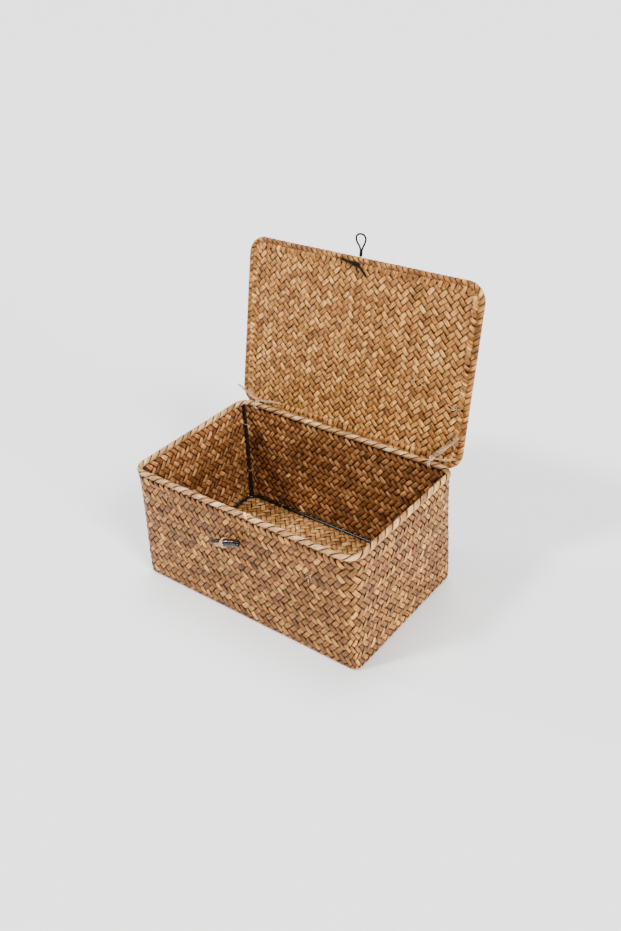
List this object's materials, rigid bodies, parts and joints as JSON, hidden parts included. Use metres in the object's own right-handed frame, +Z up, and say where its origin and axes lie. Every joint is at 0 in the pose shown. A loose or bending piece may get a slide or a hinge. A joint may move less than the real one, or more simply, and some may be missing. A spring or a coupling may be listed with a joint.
{
  "type": "lidded storage basket",
  "caption": "Open rectangular plaited seagrass storage box with a hinged lid over a painted wire frame, tied with twine and closed by a cord loop and a bar toggle.",
  "frame": {"origin": "centre of the base, on the surface the box stands on", "axes": "+Z up, X along the long side, front with the toggle at -Y, hinge at +Y; the lid stands open"},
  "size_m": [0.3134, 0.2578, 0.3725],
  "materials": {
    "seagrass": "dry plaited seagrass, golden tan to reddish brown",
    "border_straw": "paler wrapped straw roll",
    "black_wire": "semi-gloss black paint",
    "twine": "rough twisted jute",
    "black_cord": "waxed black cord",
    "horn": "polished dark horn or wood"
  },
  "bodies": {
    "box": {"woven_body": "seagrass", "rim_border": "border_straw", "rim_wire": "black_wire", "floor_wire": "black_wire", "corner_post_front_left": "black_wire", "corner_post_front_right": "black_wire", "corner_post_back_left": "black_wire", "corner_post_back_right": "black_wire", "frame_stitches": "twine", "toggle_tie": "twine"},
    "lid": {"lid_panel": "seagrass", "lid_border": "border_straw", "lid_wire": "black_wire", "hinge_tie_left": "twine", "hinge_tie_right": "twine", "hinge_knot_left": "twine", "hinge_knot_right": "twine", "tie_end_left_up": "twine", "tie_end_left_side": "twine", "tie_end_right_up": "twine", "tie_end_right_side": "twine", "closure_knot": "black_cord", "closure_end_left": "black_cord", "closure_end_right": "black_cord"},
    "loop": {"loop_whipping": "black_cord", "closure_loop": "black_cord"},
    "toggle_bar": {"toggle": "horn", "toggle_wrap": "twine"}
  },
  "joints": [
    {"name": "lid_hinge", "type": "hinge", "parent": "box", "child": "lid", "pos_m": [0, 0.0955, 0.1465], "axis": [1, 0, 0], "range_deg": [0, 101.2]},
    {"name": "loop_swing", "type": "hinge", "parent": "lid", "child": "loop", "pos_m": [0.0004, 0.1432, 0.34981], "axis": [1, 0, 0], "range_deg": [0, 95]},
    {"name": "toggle_swivel", "type": "hinge", "parent": "box", "child": "toggle_bar", "pos_m": [-0.012, -0.104, 0.1065], "axis": [0, 1, 0], "range_deg": [-90, 90]}
  ]
}
